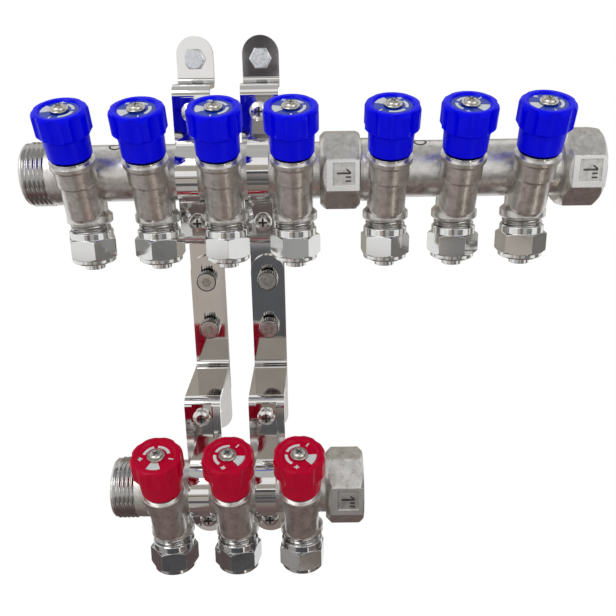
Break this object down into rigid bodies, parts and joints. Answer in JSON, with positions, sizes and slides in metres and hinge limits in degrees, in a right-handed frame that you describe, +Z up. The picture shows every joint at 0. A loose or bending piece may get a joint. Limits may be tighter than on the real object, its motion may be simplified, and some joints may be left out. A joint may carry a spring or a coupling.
{
  "type": "water distribution manifold",
  "caption": "Wall-mounted water distribution manifold: nickel-plated outlet bars with hand-turned valves and clamp nuts, strapped to bent-strip wall brackets.",
  "frame": {"origin": "on the wall plane, midway between the two upper wall bolts", "axes": "+X along the bars to the octagon ends, +Y into the wall, +Z up"},
  "size_m": [0.2955, 0.1376, 0.2874],
  "materials": {
    "satin_nickel": "satin nickel plate on forged brass",
    "bright_nickel": "bright nickel plate on turned brass",
    "bare_brass": "turned",
    "blue_plastic": "moulded, glossy",
    "red_plastic": "moulded, glossy",
    "bracket_chrome": "bright plated steel strip",
    "screw_steel": "zinc-plated steel"
  },
  "bodies": {
    "rack": {"bar_upper_left": "satin_nickel", "bonnets_upper_left": "bright_nickel", "nuts_upper_left": "bright_nickel", "inserts_upper_left": "bare_brass", "olives_upper_left": "bare_brass", "bar_upper_right": "satin_nickel", "bonnets_upper_right": "bright_nickel", "nuts_upper_right": "bright_nickel", "inserts_upper_right": "bare_brass", "olives_upper_right": "bare_brass", "bar_lower": "satin_nickel", "bonnets_lower": "bright_nickel", "nuts_lower": "bright_nickel", "inserts_lower": "bare_brass", "olives_lower": "bare_brass", "wall_bracket_left": "bracket_chrome", "drop_bracket_left": "bracket_chrome", "strap_upper_left": "bracket_chrome", "strap_lower_left": "bracket_chrome", "wall_bracket_right": "bracket_chrome", "drop_bracket_right": "bracket_chrome", "strap_upper_right": "bracket_chrome", "strap_lower_right": "bracket_chrome", "clamp_screws": "screw_steel", "slot_screws": "screw_steel", "wall_bolts": "screw_steel"},
    "handle_blue_1": {"knob_blue_1": "blue_plastic", "stem_blue_1": "bare_brass"},
    "shutter_blue_1": {"plug_blue_1": "bare_brass"},
    "handle_blue_2": {"knob_blue_2": "blue_plastic", "stem_blue_2": "bare_brass"},
    "shutter_blue_2": {"plug_blue_2": "bare_brass"},
    "handle_blue_3": {"knob_blue_3": "blue_plastic", "stem_blue_3": "bare_brass"},
    "shutter_blue_3": {"plug_blue_3": "bare_brass"},
    "handle_blue_4": {"knob_blue_4": "blue_plastic", "stem_blue_4": "bare_brass"},
    "shutter_blue_4": {"plug_blue_4": "bare_brass"},
    "handle_blue_5": {"knob_blue_5": "blue_plastic", "stem_blue_5": "bare_brass"},
    "shutter_blue_5": {"plug_blue_5": "bare_brass"},
    "handle_blue_6": {"knob_blue_6": "blue_plastic", "stem_blue_6": "bare_brass"},
    "shutter_blue_6": {"plug_blue_6": "bare_brass"},
    "handle_blue_7": {"knob_blue_7": "blue_plastic", "stem_blue_7": "bare_brass"},
    "shutter_blue_7": {"plug_blue_7": "bare_brass"},
    "handle_red_1": {"knob_red_1": "red_plastic", "stem_red_1": "bare_brass"},
    "shutter_red_1": {"plug_red_1": "bare_brass"},
    "handle_red_2": {"knob_red_2": "red_plastic", "stem_red_2": "bare_brass"},
    "shutter_red_2": {"plug_red_2": "bare_brass"},
    "handle_red_3": {"knob_red_3": "red_plastic", "stem_red_3": "bare_brass"},
    "shutter_red_3": {"plug_red_3": "bare_brass"}
  },
  "joints": [
    {"name": "turn_blue_1", "type": "hinge", "parent": "rack", "child": "handle_blue_1", "pos_m": [-0.072, -0.06, -0.056], "axis": [0, -0.3827, 0.9239], "range_deg": [-900, 0]},
    {"name": "lift_blue_1", "type": "slide", "parent": "rack", "child": "shutter_blue_1", "axis": [0, -0.3827, 0.9239], "range_m": [-0.00375, 0]},
    {"name": "turn_blue_2", "type": "hinge", "parent": "rack", "child": "handle_blue_2", "pos_m": [-0.036, -0.06, -0.056], "axis": [0, -0.3827, 0.9239], "range_deg": [-900, 0]},
    {"name": "lift_blue_2", "type": "slide", "parent": "rack", "child": "shutter_blue_2", "axis": [0, -0.3827, 0.9239], "range_m": [-0.00375, 0]},
    {"name": "turn_blue_3", "type": "hinge", "parent": "rack", "child": "handle_blue_3", "pos_m": [0, -0.06, -0.056], "axis": [0, -0.3827, 0.9239], "range_deg": [-900, 0]},
    {"name": "lift_blue_3", "type": "slide", "parent": "rack", "child": "shutter_blue_3", "axis": [0, -0.3827, 0.9239], "range_m": [-0.00375, 0]},
    {"name": "turn_blue_4", "type": "hinge", "parent": "rack", "child": "handle_blue_4", "pos_m": [0.036, -0.06, -0.056], "axis": [0, -0.3827, 0.9239], "range_deg": [-900, 0]},
    {"name": "lift_blue_4", "type": "slide", "parent": "rack", "child": "shutter_blue_4", "axis": [0, -0.3827, 0.9239], "range_m": [-0.00375, 0]},
    {"name": "turn_blue_5", "type": "hinge", "parent": "rack", "child": "handle_blue_5", "pos_m": [0.0835, -0.06, -0.056], "axis": [0, -0.3827, 0.9239], "range_deg": [-900, 0]},
    {"name": "lift_blue_5", "type": "slide", "parent": "rack", "child": "shutter_blue_5", "axis": [0, -0.3827, 0.9239], "range_m": [-0.00375, 0]},
    {"name": "turn_blue_6", "type": "hinge", "parent": "rack", "child": "handle_blue_6", "pos_m": [0.1195, -0.06, -0.056], "axis": [0, -0.3827, 0.9239], "range_deg": [-900, 0]},
    {"name": "lift_blue_6", "type": "slide", "parent": "rack", "child": "shutter_blue_6", "axis": [0, -0.3827, 0.9239], "range_m": [-0.00375, 0]},
    {"name": "turn_blue_7", "type": "hinge", "parent": "rack", "child": "handle_blue_7", "pos_m": [0.1555, -0.06, -0.056], "axis": [0, -0.3827, 0.9239], "range_deg": [-900, 0]},
    {"name": "lift_blue_7", "type": "slide", "parent": "rack", "child": "shutter_blue_7", "axis": [0, -0.3827, 0.9239], "range_m": [-0.00375, 0]},
    {"name": "turn_red_1", "type": "hinge", "parent": "rack", "child": "handle_red_1", "pos_m": [-0.035, -0.08994, -0.22443], "axis": [0, -0.309, 0.9511], "range_deg": [-900, 0]},
    {"name": "lift_red_1", "type": "slide", "parent": "rack", "child": "shutter_red_1", "axis": [0, -0.309, 0.9511], "range_m": [-0.00375, 0]},
    {"name": "turn_red_2", "type": "hinge", "parent": "rack", "child": "handle_red_2", "pos_m": [0.001, -0.08994, -0.22443], "axis": [0, -0.309, 0.9511], "range_deg": [-900, 0]},
    {"name": "lift_red_2", "type": "slide", "parent": "rack", "child": "shutter_red_2", "axis": [0, -0.309, 0.9511], "range_m": [-0.00375, 0]},
    {"name": "turn_red_3", "type": "hinge", "parent": "rack", "child": "handle_red_3", "pos_m": [0.037, -0.08994, -0.22443], "axis": [0, -0.309, 0.9511], "range_deg": [-900, 0]},
    {"name": "lift_red_3", "type": "slide", "parent": "rack", "child": "shutter_red_3", "axis": [0, -0.309, 0.9511], "range_m": [-0.00375, 0]}
  ],
  "couplings": [
    {"joint": "turn_blue_1", "follows": "lift_blue_1", "rad_per_m": 4188.8},
    {"joint": "turn_blue_2", "follows": "lift_blue_2", "rad_per_m": 4188.8},
    {"joint": "turn_blue_3", "follows": "lift_blue_3", "rad_per_m": 4188.8},
    {"joint": "turn_blue_4", "follows": "lift_blue_4", "rad_per_m": 4188.8},
    {"joint": "turn_blue_5", "follows": "lift_blue_5", "rad_per_m": 4188.8},
    {"joint": "turn_blue_6", "follows": "lift_blue_6", "rad_per_m": 4188.8},
    {"joint": "turn_blue_7", "follows": "lift_blue_7", "rad_per_m": 4188.8},
    {"joint": "turn_red_1", "follows": "lift_red_1", "rad_per_m": 4188.8},
    {"joint": "turn_red_2", "follows": "lift_red_2", "rad_per_m": 4188.8},
    {"joint": "turn_red_3", "follows": "lift_red_3", "rad_per_m": 4188.8}
  ]
}
